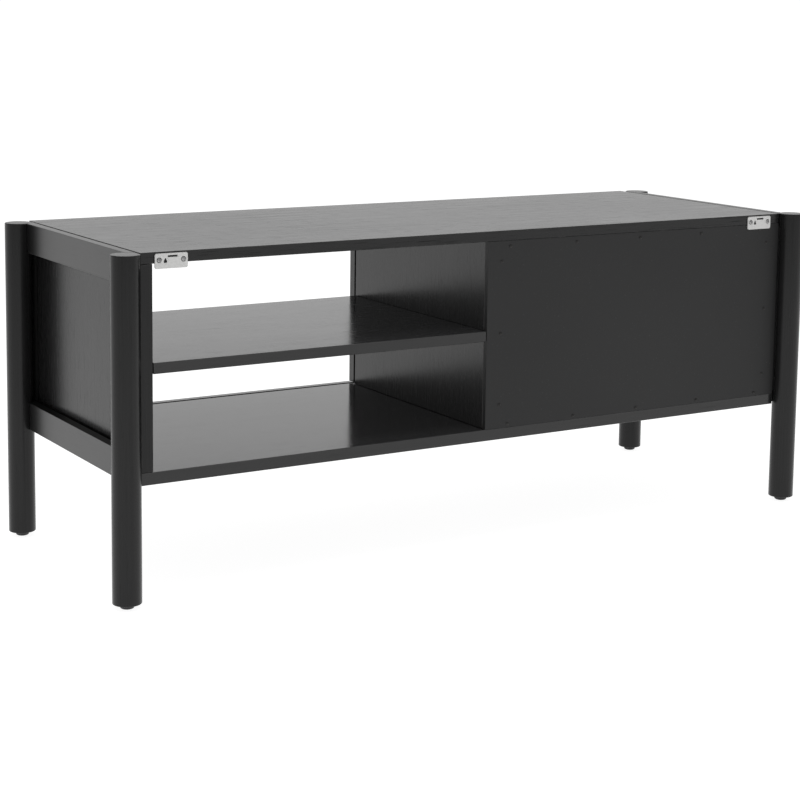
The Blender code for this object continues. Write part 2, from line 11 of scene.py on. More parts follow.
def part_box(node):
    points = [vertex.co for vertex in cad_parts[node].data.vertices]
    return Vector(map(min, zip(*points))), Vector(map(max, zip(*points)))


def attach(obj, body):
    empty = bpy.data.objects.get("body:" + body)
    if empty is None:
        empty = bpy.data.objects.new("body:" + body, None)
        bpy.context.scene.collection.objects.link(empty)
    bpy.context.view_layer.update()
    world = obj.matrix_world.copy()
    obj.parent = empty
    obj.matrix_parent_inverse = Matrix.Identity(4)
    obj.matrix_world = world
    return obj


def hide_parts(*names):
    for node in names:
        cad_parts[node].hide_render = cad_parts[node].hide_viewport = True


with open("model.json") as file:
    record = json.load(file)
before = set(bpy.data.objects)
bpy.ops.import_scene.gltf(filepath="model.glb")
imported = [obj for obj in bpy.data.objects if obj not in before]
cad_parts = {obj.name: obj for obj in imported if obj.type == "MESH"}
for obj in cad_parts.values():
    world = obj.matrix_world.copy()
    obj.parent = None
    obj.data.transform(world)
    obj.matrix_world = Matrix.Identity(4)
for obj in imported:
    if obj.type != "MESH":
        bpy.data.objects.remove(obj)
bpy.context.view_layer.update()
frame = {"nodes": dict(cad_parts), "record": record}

# Lengths are in metres and angles in degrees, unless a comment says otherwise.

# Camera
LENS_MM = 84.0
SENSOR_MM = 36.0
LENS_SHIFT_Y = -0.1875
CAMERA_PLACE = (1.6084, 2.5657, 0.8388)
CAMERA_HEADING = 148.595        # from +Y towards -X
CAMERA_TILT = 7.385             # below the horizon
CAMERA_ROLL = 0.72

# Studio
FLOOR_RADIUS = 400.0
FLOOR_DROP = 0.0002
FLOOR_COLOUR = 0.45
FLOOR_GLOW = 0.92
WALL_HEADING = (-0.53, -0.85)   # towards the bright wall, which the camera faces
WALL_SPREAD = (0.45, 0.88)      # how far a direction agrees with the heading: dim, and full
WALL_FOOT = (0.10, 0.185)       # sine of the height where the foot's light ends and the wall's starts
WALL_LIGHT = 0.88
WALL_FOOT_LIGHT = 0.80          # the wall is dimmer just above the floor
ROOM_LIGHT = 0.30               # the rest of the room
HORIZON_BAND = (0.018, 0.030)   # sine of the height over which the horizon's strip fades
HORIZON_LIGHT = 1.05            # a low strip all round, where the floor meets the wall
OVERHEAD_PLACE = (0.3, -0.2, 3.0)
OVERHEAD_SIZE = 3.2
OVERHEAD_WATTS = 30.0

# Oak: texture scales in cycles per metre, lengthwise and across the grain
FIGURE_SCALE = (0.9, 15.0)
STREAK_SCALE = (2.6, 240.0)
PORE_SCALE = (22.0, 900.0)
FLECK_SCALE = (9.0, 260.0)
CLOUD_SCALE = 2.3
# Size of the patches that break up the painted highlight along the edges
EDGE_HIGHLIGHT_PATCH_SCALE = 60.0
OAK_DARK = 0.006
OAK_LIGHT = 0.014
PORE_TONE = 0.45                # of the dark tone
EDGE_HIGHLIGHT_TONE = (3.2, 3.1, 3.0)   # painted highlight near the edges, as parts of the light tone
STAIN_WEIGHTS = (0.45, 0.40, 0.25)      # of the figure, the streaks and the clouds
GLOSS_WEIGHTS = (0.04, 0.04, 0.16)      # roughness added by the streaks, the clouds and the pores
DULL_WEIGHTS = (0.20, 0.05)             # shine taken away by the flecks and the figure
EDGE_HIGHLIGHT_REACH = (0.0004, 0.0022)   # from an edge: full painted highlight, and none
TOP_SHEEN_DEPTHS = (0.0006, 0.0001)  # below the top face: no painted sheen, and full painted sheen
OAK_RELIEF = 0.00002

# Boards: grain's axis, shift of its texture, roughness, IOR, painted sheen on the top face, strength of
# grain
BOARD_LOOKS = {
    "top_panel": ("X", 0.0, 0.24, 1.39, 0.008, 1.3),
    "bottom_panel": ("X", 3.1, 0.15, 1.48, 0.062, 0.6),
    "open_bay_shelf": ("X", 6.2, 0.19, 1.48, 0.062, 0.6),
    "closed_bay_shelf": ("X", 9.3, 0.19, 1.48, 0.062, 0.6),
    "sliding_door": ("Z", 0.0, 0.24, 1.45, 0.0, 0.6),
    "side_panel_left": ("Z", 3.1, 0.24, 1.34, 0.0, 0.6),
    "side_panel_right": ("Z", 6.2, 0.24, 1.34, 0.0, 0.6),
    "centre_divider": ("Z", 9.3, 0.24, 1.45, 0.0, 0.6),
}

# Legs, back panel and feet
ROUND_SIDES = 96
SMALL_SIDES = 40
LEG_EDGE = 0.0012
BACK_SLACK = 0.00025
BACK_EDGE = 0.00015
PAD_GAP = 0.0003                # between a foot's pad and its leg
PAD_ROUNDING = 0.0036
RIM_ROUNDING = 0.0006
RIB_COUNT = 36
RIB_DEPTH = 0.00035
THREAD_PITCH = 0.00125
THREAD_DEPTH = 0.0006

# Screws: a pan head from its underside to its crown, as parts of its radius and height
PAN_HEAD = ((0, 0), (1, 0), (1, 0.25), (0.93, 0.58), (0.75, 0.86), (0.45, 0.98), (0, 1))
DRIVE_DEPTH = 0.62              # of the head's height
HEXAGON_REACH = 0.48            # of the head's radius, like the cross's two measures
CROSS_REACH = 0.58
CROSS_HALF = 0.14
BACK_SCREW = (0.0026, 0.0009)   # head's radius and height
BACK_SCREW_TURN = 0.7           # radians from one screw's cross to the next one's
COLUMN_INSET = 0.026            # from the back panel's upright edges
ROW_INSET = 0.016               # from the columns
BOTTOM_ROW_RISE = 0.0055        # over the bottom panel
TOP_ROW_DROP = 0.009            # under the top panel
COLUMN_DROP = 0.145             # from the top panel to the columns' middle screws
COLUMN_PITCH = 0.113
ROW_STEPS = 4                   # gaps between a row's screws

# Wall brackets, seen from behind, about the plate's middle
PLATE_ROUNDING = 0.0030
PLATE_BEVEL = 0.0003
STRAP_SLOT = (0.0075, 0.0013, 0.0012, (-0.002, 0.0065))     # half sizes, rounding, middle
KEYHOLE = ((0.009, -0.0006), 0.0026)
KEYHOLE_NECK = ((0.009, 0.0026), 0.0013)
BRACKET_SCREW = (0.0031, 0.0015)
BRACKET_SCREW_X = 0.0185
BRACKET_SCREW_Z = 0.0015
BRACKET_SCREW_GAP = 0.0007      # round the head, in the plate's hole
BRACKET_SCREW_SINK = 0.0008

# Frame bolts, shelf pins, grip bars and bumpers
BOLT_HEAD_HEIGHT = 0.003
SHANK_RADIUS = 0.0029
SHANK_TIP_RADIUS = 0.0018
SHANK_TIP = 0.0012
SHANK_LIFT = 0.0001
SHANK_SIDES = 32
PIN_PLUG_RADIUS = 0.0023
PIN_STUD = 0.78                 # of the shoulder's radius
PIN_ROUNDING = 0.001
PULL_ROUNDING = 0.0028
BUMPER_ROUNDING = 0.0012


# ---------------------------------------------------------------- node helpers

def start_material(name, colour, roughness, metallic=0.0):
    material = bpy.data.materials.new(name)
    material.use_nodes = True
    tree = material.node_tree
    shader = tree.nodes["Principled BSDF"]
    shader.inputs["Base Color"].default_value = (*colour, 1.0)
    shader.inputs["Roughness"].default_value = roughness
    shader.inputs["Metallic"].default_value = metallic
    return material, tree, shader


def add_math(tree, operation, first, second):
    node = tree.nodes.new("ShaderNodeMath")
    node.operation = operation
    for socket, value in zip(node.inputs, (first, second)):
        if isinstance(value, (int, float)):
            socket.default_value = value
        else:
            tree.links.new(value, socket)
    return node.outputs[0]


def add_sum(tree, *terms):
    """The sum of values, each given with its weight."""
    parts = [add_math(tree, "MULTIPLY", value, weight) for value, weight in terms]
    total = parts[0]
    for part in parts[1:]:
        total = add_math(tree, "ADD", total, part)
    return total


def add_range(tree, value, low, high, to_low=0.0, to_high=1.0):
    """A smooth step: to_low where the value is low or less, to_high where it is high or more."""
    node = tree.nodes.new("ShaderNodeMapRange")
    node.interpolation_type = "SMOOTHSTEP"
    tree.links.new(value, node.inputs["Value"])
    limits = {"From Min": low, "From Max": high, "To Min": to_low, "To Max": to_high}
    for name, number in limits.items():
        node.inputs[name].default_value = number
    return node.outputs["Result"]


def add_axes(tree, output):
    """The three parts of a texture coordinate."""
    coordinates = tree.nodes.new("ShaderNodeTexCoord")
    split = tree.nodes.new("ShaderNodeSeparateXYZ")
    tree.links.new(coordinates.outputs[output], split.inputs["Vector"])
    return split.outputs


def add_noise(tree, scale, detail=2.0, roughness=0.5, distortion=0.0, offset=(0, 0, 0)):
    """Noise whose scale is cycles per metre, one number or one for each axis of the object."""
    coordinates = tree.nodes.new("ShaderNodeTexCoord")
    mapping = tree.nodes.new("ShaderNodeMapping")
    mapping.inputs["Scale"].default_value = (scale,) * 3 if isinstance(scale, float) else scale
    mapping.inputs["Location"].default_value = offset
    tree.links.new(coordinates.outputs["Object"], mapping.inputs["Vector"])
    noise = tree.nodes.new("ShaderNodeTexNoise")
    noise.inputs["Scale"].default_value = 1.0
    noise.inputs["Detail"].default_value = detail
    noise.inputs["Roughness"].default_value = roughness
    noise.inputs["Distortion"].default_value = distortion
    tree.links.new(mapping.outputs["Vector"], noise.inputs["Vector"])
    return noise.outputs["Fac"]


def add_mix(tree, factor, first, second):
    """A colour between two others, each a socket or three numbers."""
    node = tree.nodes.new("ShaderNodeMix")
    node.data_type = "RGBA"
    tree.links.new(factor, node.inputs["Factor"])
    for socket, value in ((node.inputs[6], first), (node.inputs[7], second)):
        if isinstance(value, bpy.types.NodeSocket):
            tree.links.new(value, socket)
        else:
            socket.default_value = (*value, 1.0)
    return node.outputs[2]


def add_bump(tree, shader, height, distance):
    bump = tree.nodes.new("ShaderNodeBump")
    bump.inputs["Strength"].default_value = 1.0
    bump.inputs["Distance"].default_value = distance
    tree.links.new(height, bump.inputs["Height"])
    tree.links.new(bump.outputs["Normal"], shader.inputs["Normal"])


def stretch(along, lengthwise, across):
    """Scale of a texture that is long along one axis and narrow across the other two."""
    return tuple(lengthwise if axis == along else across for axis in "XYZ")


def edge_distance(tree, low, high):
    """Distance from a point of a board's face to the nearest of that board's edges."""
    place = add_axes(tree, "Object")
    depths = []
    for axis in range(3):
        from_low = add_math(tree, "SUBTRACT", place[axis], low[axis])
        from_high = add_math(tree, "SUBTRACT", high[axis], place[axis])
        depths.append(add_math(tree, "MINIMUM", from_low, from_high))
    nearer = add_math(tree, "MINIMUM", depths[0], depths[1])
    farther = add_math(tree, "MAXIMUM", depths[0], depths[1])
    middle = add_math(tree, "MINIMUM", farther, depths[2])
    return add_math(tree, "MAXIMUM", nearer, middle)


def scaled(tone, factor):
    """A colour made darker or lighter, and never past white."""
    return tuple(min(1.0, channel * factor) for channel in tone)


# ---------------------------------------------------------------- materials

def black_oak(name, along, low, high, shift, roughness, ior, top_sheen=0.0, grain=0.2):
    """Black-stained oak under satin lacquer, with its grain along one axis, a painted highlight along its
    edges and, where asked, a painted sheen on its top face.
    """
    material, tree, shader = start_material(name, (OAK_LIGHT,) * 3, roughness)
    shader.inputs["IOR"].default_value = ior
    offset = (shift, shift * 1.7, shift * 0.6)

    def grained(scale, detail, rough=0.5, distortion=0.0):
        return add_noise(tree, stretch(along, *scale), detail, rough, distortion, offset)

    bands = add_range(tree, grained(FIGURE_SCALE, 3.0, 0.55, 0.6), 0.30, 0.72)
    lines = add_range(tree, grained(STREAK_SCALE, 3.0, 0.6, 0.1), 0.34, 0.66)
    pits = add_range(tree, grained(PORE_SCALE, 1.0), 0.62, 0.74)
    flecks = add_range(tree, grained(FLECK_SCALE, 2.0), 0.66, 0.76)
    clouds = add_noise(tree, CLOUD_SCALE, offset=offset)
    stain = add_sum(tree, *zip((bands, lines, clouds), STAIN_WEIGHTS))
    stain = add_math(tree, "MINIMUM", stain, 1.0)
    dark, light = scaled((1.0, 1.0, 1.02), OAK_DARK), scaled((1.0, 1.0, 1.01), OAK_LIGHT)
    colour = add_mix(tree, stain, dark, light)
    colour = add_mix(tree, add_math(tree, "MULTIPLY", pits, 0.7), colour, (OAK_DARK * PORE_TONE,) * 3)
    # Painted highlight: the colour turns lighter within a few millimetres of each edge of the board's
    # box, in patches.
    patches = add_range(tree, add_noise(tree, EDGE_HIGHLIGHT_PATCH_SCALE, 3.0, 0.6, 0.0, offset), 0.42, 0.68)
    edge = add_range(tree, edge_distance(tree, low, high), *EDGE_HIGHLIGHT_REACH, 1.0, 0.0)
    edge_highlight = add_math(tree, "MULTIPLY", edge, patches)
    colour = add_mix(tree, add_math(tree, "MULTIPLY", edge_highlight, 0.55), colour, scaled(EDGE_HIGHLIGHT_TONE, OAK_LIGHT))
    # Painted sheen: the top face turns lighter, unevenly with the stain, as if it caught the light.
    if top_sheen:
        height = add_axes(tree, "Object")["Z"]
        on_top = add_range(tree, height, *(high[2] - depth for depth in TOP_SHEEN_DEPTHS))
        uneven = add_math(tree, "ADD", 0.6, add_math(tree, "MULTIPLY", stain, 0.4))
        painted_sheen = add_math(tree, "MULTIPLY", on_top, uneven)
        colour = add_mix(tree, painted_sheen, colour, scaled((1.0, 1.0, 1.03), top_sheen))
    tree.links.new(colour, shader.inputs["Base Color"])
    from_lines, from_clouds, from_pits = GLOSS_WEIGHTS
    gloss = add_sum(tree, (lines, from_lines * grain), (clouds, from_clouds), (pits, from_pits * grain))
    tree.links.new(add_math(tree, "ADD", gloss, roughness - 0.04), shader.inputs["Roughness"])
    dull = add_sum(tree, *zip((flecks, bands), DULL_WEIGHTS))
    shine = add_math(tree, "SUBTRACT", 0.5, add_math(tree, "MULTIPLY", dull, grain))
    tree.links.new(shine, shader.inputs["Specular IOR Level"])
    add_bump(tree, shader, add_sum(tree, (lines, 0.25), (pits, -1.0)), OAK_RELIEF * grain)
    return material


def black_board(name):
    """The back panel's plain lacquered board, with the faint orange peel of a sprayed coat."""
    material, tree, shader = start_material(name, (0.026, 0.026, 0.027), 0.5)
    shader.inputs["Specular IOR Level"].default_value = 0.40
    peel = add_noise(tree, 900.0)
    drift = add_noise(tree, 3.0, 3.0)
    dust = add_range(tree, add_noise(tree, 420.0, 1.0), 0.70, 0.78)
    colour = add_mix(tree, drift, (0.007, 0.007, 0.0073), (0.010, 0.010, 0.0103))
    colour = add_mix(tree, add_math(tree, "MULTIPLY", dust, 0.25), colour, (0.07, 0.07, 0.07))
    tree.links.new(colour, shader.inputs["Base Color"])
    tree.links.new(add_range(tree, drift, 0.2, 0.8, 0.44, 0.54), shader.inputs["Roughness"])
    add_bump(tree, shader, peel, 0.00003)
    return material


def raw_cleat(name, along):
    """Rough-sawn softwood under a thin black wash."""
    material, tree, shader = start_material(name, (0.08, 0.07, 0.06), 0.75)
    rings = add_noise(tree, stretch(along, 3.0, 130.0), 4.0, 0.6, 0.4)
    fuzz = add_noise(tree, stretch(along, 80.0, 900.0), 3.0)
    wash = add_range(tree, rings, 0.3, 0.7)
    colour = add_mix(tree, wash, (0.045, 0.038, 0.030), (0.115, 0.095, 0.072))
    tree.links.new(colour, shader.inputs["Base Color"])
    tree.links.new(add_range(tree, fuzz, 0.2, 0.8, 0.65, 0.85), shader.inputs["Roughness"])
    add_bump(tree, shader, add_math(tree, "ADD", rings, fuzz), 0.00020)
    return material


def moulded(name, tone, roughness, grit=1400.0, depth=0.00003):
    """Moulded plastic, foam or rubber: a fine spark-eroded grain and a faint cloudiness."""
    material, tree, shader = start_material(name, tone, roughness)
    grain = add_noise(tree, grit)
    cloud = add_noise(tree, 40.0, 3.0)
    colour = add_mix(tree, cloud, scaled(tone, 0.75), scaled(tone, 1.25))
    gloss = add_range(tree, cloud, 0.2, 0.8, roughness - 0.06, roughness + 0.08)
    tree.links.new(colour, shader.inputs["Base Color"])
    tree.links.new(gloss, shader.inputs["Roughness"])
    add_bump(tree, shader, grain, depth)
    return material


def plated(name, tone, roughness, metallic, spangle=260.0):
    """Plated or coated steel: soft spangle, fine rolling marks and a few scuffs."""
    material, tree, shader = start_material(name, tone, roughness, metallic)
    cloud = add_noise(tree, spangle, 3.0, 0.6)
    marks = add_noise(tree, (120.0, 120.0, 2600.0))
    scuffs = add_range(tree, add_noise(tree, (700.0, 90.0, 300.0), 2.0, 0.5, 1.5), 0.62, 0.72)
    colour = add_mix(tree, cloud, scaled(tone, 0.86), scaled(tone, 1.08))
    colour = add_mix(tree, add_math(tree, "MULTIPLY", scuffs, 0.35), colour, scaled(tone, 0.6))
    tree.links.new(colour, shader.inputs["Base Color"])
    gloss = add_range(tree, cloud, 0.25, 0.75, roughness - 0.07, roughness + 0.10)
    tree.links.new(add_sum(tree, (gloss, 1.0), (scuffs, 0.15)), shader.inputs["Roughness"])
    add_bump(tree, shader, add_sum(tree, (cloud, 1.0), (marks, 0.4)), 0.00004)
    return material


BLACK_PLASTIC = moulded("black_plastic", (0.014, 0.014, 0.015), 0.48)
TRACK_PLASTIC = moulded("track_plastic", (0.014, 0.014, 0.015), 0.62, 900.0, 0.00002)
SPACER_FOAM = moulded("spacer_foam", (0.008, 0.008, 0.008), 0.88, 600.0, 0.0002)
SPACER_FOAM.node_tree.nodes["Principled BSDF"].inputs["Specular IOR Level"].default_value = 0.12
NYLON = moulded("nylon", (0.52, 0.51, 0.47), 0.42)
RUBBER = moulded("rubber", (0.045, 0.045, 0.046), 0.72, 700.0, 0.00005)
ZINC = plated("zinc", (0.70, 0.70, 0.68), 0.34, 0.9)
DULL_ZINC = plated("dull_zinc", (0.42, 0.42, 0.42), 0.40, 0.7, 500.0)
WHITE_ZINC = plated("white_zinc", (0.70, 0.70, 0.69), 0.42, 0.25)
BLACK_STEEL = plated("black_steel", (0.018, 0.018, 0.019), 0.42, 0.3, 900.0)
SCREW_BLACK = plated("screw_black", (0.034, 0.033, 0.032), 0.42, 0.5, 500.0)


# ---------------------------------------------------------------- mesh helpers

def put_object(name, data):
    """A new object in the scene, for a mesh, a curve, a light or a camera."""
    thing = bpy.data.objects.new(name, data)
    bpy.context.scene.collection.objects.link(thing)
    return thing


def shade(mesh, smooth_angle):
    mesh.shade_smooth()
    mesh.set_sharp_from_angle(angle=radians(smooth_angle))


def keep_mesh(piece_name, bm, material, smooth_angle=35.0):
    mesh = bpy.data.meshes.new(piece_name)
    bmesh.ops.recalc_face_normals(bm, faces=bm.faces)
    bm.to_mesh(mesh)
    bm.free()
    mesh.materials.append(material)
    shade(mesh, smooth_angle)
    return put_object(piece_name, mesh)


def axis_turn(axis):
    """The turn that takes +Z to the axis."""
    return Vector((0, 0, 1)).rotation_difference(Vector(axis)).to_matrix().to_4x4()


def turned_mesh(profile, base, axis, sides, ripple=None):
    """A bmesh turned from (radius, height) points; ripple(height, angle) may add to the radius."""
    bm = bmesh.new()
    place = Matrix.Translation(base) @ axis_turn(axis)
    rings = []
    for radius, height in profile:
        if radius == 0:
            rings.append([bm.verts.new(place @ Vector((0, 0, height)))])
            continue
        ring = []
        for side in range(sides):
            angle = 2 * pi * side / sides
            reach = radius + (ripple(height, angle) if ripple else 0.0)
            point = Vector((reach * cos(angle), reach * sin(angle), height))
            ring.append(bm.verts.new(place @ point))
        rings.append(ring)
    for lower, upper in zip(rings, rings[1:]):
        for side in range(sides):
            after = (side + 1) % sides
            if len(lower) == 1 and len(upper) == 1:
                continue
            if len(lower) == 1:
                bm.faces.new((lower[0], upper[after], upper[side]))
            elif len(upper) == 1:
                bm.faces.new((lower[side], lower[after], upper[0]))
            else:
                bm.faces.new((lower[side], lower[after], upper[after], upper[side]))
    return bm


def arc_points(centre, radius, start, end, steps=6):
    """Points of an arc, from one angle to another."""
    angles = (radians(start + (end - start) * step / steps) for step in range(steps + 1))
    return [(centre[0] + radius * cos(angle), centre[1] + radius * sin(angle)) for angle in angles]


def rounded_outline(half_x, half_z, radius, centre=(0, 0), steps=8):
    """A rectangle with round corners."""
    points = []
    for sign_x, sign_z, start in ((1, 1, 0), (-1, 1, 90), (-1, -1, 180), (1, -1, 270)):
        middle = (centre[0] + sign_x * (half_x - radius), centre[1] + sign_z * (half_z - radius))
        points += arc_points(middle, radius, start, start + 90, steps)
    return points


def soft_box(name, low, high, radius, material, segments=4, smooth_angle=60.0):
    """A bar with all its edges rounded."""
    low, high = Vector(low), Vector(high)
    bm = bmesh.new()
    place = Matrix.Translation((low + high) / 2) @ Matrix.Diagonal((*(high - low), 1.0))
    bmesh.ops.create_cube(bm, size=1.0, matrix=place)
    edges = bm.edges[:]
    bmesh.ops.bevel(bm, geom=edges, offset=radius, segments=segments, affect="EDGES", profile=0.5)
    return keep_mesh(name, bm, material, smooth_angle)


def evaluated_mesh(thing):
    """A new mesh of the object as its modifiers or its curve make it."""
    return bpy.data.meshes.new_from_object(
        thing.evaluated_get(bpy.context.evaluated_depsgraph_get()))


def cut_away(piece, cutter):
    """Take the cutter out of the piece for good, and remove the cutter."""
    boolean = piece.modifiers.new("Cut", "BOOLEAN")
    boolean.operation = "DIFFERENCE"
    boolean.solver = "EXACT"
    boolean.object = cutter
    mesh = evaluated_mesh(piece)
    piece.modifiers.clear()
    piece.data = mesh
    bpy.data.objects.remove(cutter)
    shade(mesh, 35.0)


def flat_part(name, outlines, thickness, bevel, material):
    """A sheet part in the XZ plane: the first outline is its edge and the others are its holes."""
    curve = bpy.data.curves.new(name + "_outline", "CURVE")
    curve.dimensions = "2D"
    curve.fill_mode = "BOTH"
    curve.extrude = thickness / 2 - bevel
    curve.bevel_depth = bevel
    curve.bevel_resolution = 2
    curve.offset = -bevel
    for outline in outlines:
        spline = curve.splines.new("POLY")
        spline.points.add(len(outline) - 1)
        for point, (x, z) in zip(spline.points, outline):
            point.co = (x, z, 0, 1)
        spline.use_cyclic_u = True
    source = put_object(name + "_outline", curve)
    mesh = evaluated_mesh(source)
    bpy.data.objects.remove(source)
    mesh.transform(Matrix.Rotation(pi / 2, 4, "X"))
    mesh.materials.clear()
    mesh.materials.append(material)
    shade(mesh, 40.0)
    return put_object(name, mesh)


# ---------------------------------------------------------------- pieces

def node_names(*starts):
    return sorted(name for name in frame["nodes"] if name.startswith(starts))


def paint(name, material):
    """Give a carried-over node its material."""
    mesh = frame["nodes"][name].data
    mesh.materials.clear()
    mesh.materials.append(material)


def stand_for(piece, node):
    """Let a piece take a node's place, on that node's body."""
    bodies = frame["record"]["behaviour"]["bodies"]
    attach(piece, next(body for body, nodes in bodies.items() if node in nodes))
    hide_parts(node)


def paint_boards():
    """Each board gets its own veneer and each rail its own solid oak. The cleats stay rough."""
    for name, (along, shift, roughness, ior, top_sheen, grain) in BOARD_LOOKS.items():
        low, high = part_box(name)
        paint(name, black_oak(name + "_veneer", along, low, high, shift, roughness, ior, top_sheen, grain))
    for number, name in enumerate(node_names("top_rail", "bottom_rail")):
        low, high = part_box(name)
        paint(name, black_oak(name + "_oak", "Y", low, high, 1.3 * number + 0.4, 0.30, 1.42))
    for name in node_names("back_cleat"):
        along = "X" if name.endswith(("top", "bottom")) else "Z"
        paint(name, raw_cleat(name + "_wood", along))


def paint_fittings():
    fittings = ((("bottom_track", "top_track"), TRACK_PLASTIC), (("frame_spacer",), SPACER_FOAM),
                (("door_glide", "door_top_guide"), NYLON), (("leg_insert",), ZINC))
    for starts, material in fittings:
        for name in node_names(*starts):
            paint(name, material)


def make_back_panel():
    """The closed bay's back, laid tight against the top and bottom panels, with crisp edges."""
    low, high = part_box("back_panel")
    slack = Vector((0, 0, BACK_SLACK))
    lacquer = black_board("back_lacquer")
    sheet = soft_box("back_panel_sheet", low - slack, high + slack, BACK_EDGE, lacquer, 2, 10.0)
    stand_for(sheet, "back_panel")


def make_legs():
    """Turned legs with a soft arris at each end and a bore for the insert and the foot's stem."""
    for number, node in enumerate(node_names("leg_front", "leg_back")):
        low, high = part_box(node)
        radius = (high.x - low.x) / 2
        length = high.z - low.z
        insert_low, insert_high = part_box(node.replace("leg_", "leg_insert_"))
        bore = (insert_high.x - insert_low.x) / 2 + LEG_EDGE / 4
        insert_depth = insert_high.z - low.z + LEG_EDGE
        stem_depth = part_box(node.replace("leg_", "foot_"))[1].z - low.z + LEG_EDGE
        edge = radius - LEG_EDGE
        profile = [(0, stem_depth), (bore, stem_depth), (bore, insert_depth), (bore, 0)]
        profile += arc_points((edge, LEG_EDGE), LEG_EDGE, -90, 0)
        profile += arc_points((edge, length - LEG_EDGE), LEG_EDGE, 0, 90)
        profile += [(radius / 2, length), (0, length)]
        centre = (low + high) / 2
        base = Vector((centre.x, centre.y, low.z))
        oak = black_oak(node + "_oak", "Z", low, high, 2.3 * number + 0.9, 0.28, 1.35)
        turned = turned_mesh(profile, base, (0, 0, 1), ROUND_SIDES)
        stand_for(keep_mesh(node + "_turned", turned, oak), node)


def make_feet():
    """Levelling feet: a bowl-shaped pad with a ribbed rim, and a threaded stem."""
    for node in node_names("foot_"):
        low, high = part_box(node)
        radius = (high.x - low.x) / 2
        pad_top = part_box(node.replace("foot_", "leg_"))[0].z - PAD_GAP
        stem = radius / 3
        root = stem - THREAD_DEPTH
        profile = [(0, 0.0), (radius * 0.4, 0.0), (radius - PAD_ROUNDING, 0.0)]
        profile += arc_points((radius - PAD_ROUNDING, PAD_ROUNDING), PAD_ROUNDING, -90, 0, 8)
        profile += [(radius, pad_top * 0.50), (radius, pad_top * 0.90)]
        rim = (radius - RIM_ROUNDING, pad_top - RIM_ROUNDING)
        profile += arc_points(rim, RIM_ROUNDING, 0, 90, 4) + [(stem + THREAD_DEPTH, pad_top)]
        for turn in range(int((high.z - pad_top) / THREAD_PITCH)):
            profile += [(root, pad_top + (turn + 0.25) * THREAD_PITCH),
                        (stem - 0.00005, pad_top + (turn + 0.75) * THREAD_PITCH)]
        profile += [(root, high.z), (0, high.z)]

        def ribs(height, angle, top=pad_top):
            if not 0.49 * top < height < 0.91 * top:
                return 0.0
            return -RIB_DEPTH * (0.5 + 0.5 * cos(RIB_COUNT * angle))

        centre = (low + high) / 2
        base = Vector((centre.x, centre.y, low.z))
        turned = turned_mesh(profile, base, (0, 0, 1), 4 * RIB_COUNT, ribs)
        stand_for(keep_mesh(node + "_moulded", turned, BLACK_PLASTIC), node)


def cross_prism(bm, reach, half, low_z, high_z):
    """A plus-shaped prism along Z."""
    plus = [(half, half), (half, reach), (-half, reach), (-half, half), (-reach, half), (-reach, -half),
            (-half, -half), (-half, -reach), (half, -reach), (half, -half), (reach, -half), (reach, half)]
    bottom, top = [[bm.verts.new((x, y, z)) for x, y in plus] for z in (low_z, high_z)]
    bm.faces.new(reversed(bottom))
    bm.faces.new(top)
    for corner in range(len(plus)):
        after = (corner + 1) % len(plus)
        bm.faces.new((bottom[corner], bottom[after], top[after], top[corner]))


def screw_mesh(name, material, radius, height, drive):
    """A pan head seen from +Z, with a cross or a hexagon sunk in it. Its underside is at z = 0."""
    profile = [(radius * across, height * up) for across, up in PAN_HEAD]
    head = keep_mesh(name, turned_mesh(profile, Vector(), (0, 0, 1), SMALL_SIDES), material, 40.0)
    sink = height * DRIVE_DEPTH
    bm = bmesh.new()
    if drive == "hexagon":
        reach = radius * HEXAGON_REACH
        bmesh.ops.create_cone(bm, cap_ends=True, segments=6, radius1=reach, radius2=reach,
                              depth=2 * sink, matrix=Matrix.Translation((0, 0, height)))
    else:
        cross_prism(bm, radius * CROSS_REACH, radius * CROSS_HALF, height - sink, height + sink)
    cut_away(head, keep_mesh(name + "_drive", bm, material))
    mesh = head.data
    bpy.data.objects.remove(head)
    return mesh


def put_screw(name, mesh, place, turn):
    """A screw whose head faces +Y. It stands for no node."""
    screw = put_object(name, mesh)
    facing = axis_turn((0, 1, 0)) @ Matrix.Rotation(turn, 4, "Z")
    screw.matrix_world = Matrix.Translation(place) @ facing
    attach(screw, "root")


def make_back_screws():
    """Screws over the back panel's holes: five along the top and bottom, and three up each side."""
    low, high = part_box("back_panel")
    floor_z, ceiling_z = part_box("bottom_panel")[1].z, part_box("top_panel")[0].z
    columns = (low.x + COLUMN_INSET, high.x - COLUMN_INSET)
    start, end = columns[0] + ROW_INSET, columns[1] - ROW_INSET
    row = [start + (end - start) * step / ROW_STEPS for step in range(ROW_STEPS + 1)]
    places = [(x, z) for z in (floor_z + BOTTOM_ROW_RISE, ceiling_z - TOP_ROW_DROP) for x in row]
    column = [ceiling_z - COLUMN_DROP + step * COLUMN_PITCH for step in (-1, 0, 1)]
    places += [(x, z) for x in columns for z in column]
    mesh = screw_mesh("back_screw_head", SCREW_BLACK, *BACK_SCREW, "cross")
    for number, (x, z) in enumerate(places):
        put_screw("back_screw_%02d" % number, mesh, (x, high.y + 0.0002, z),
                  BACK_SCREW_TURN * number)


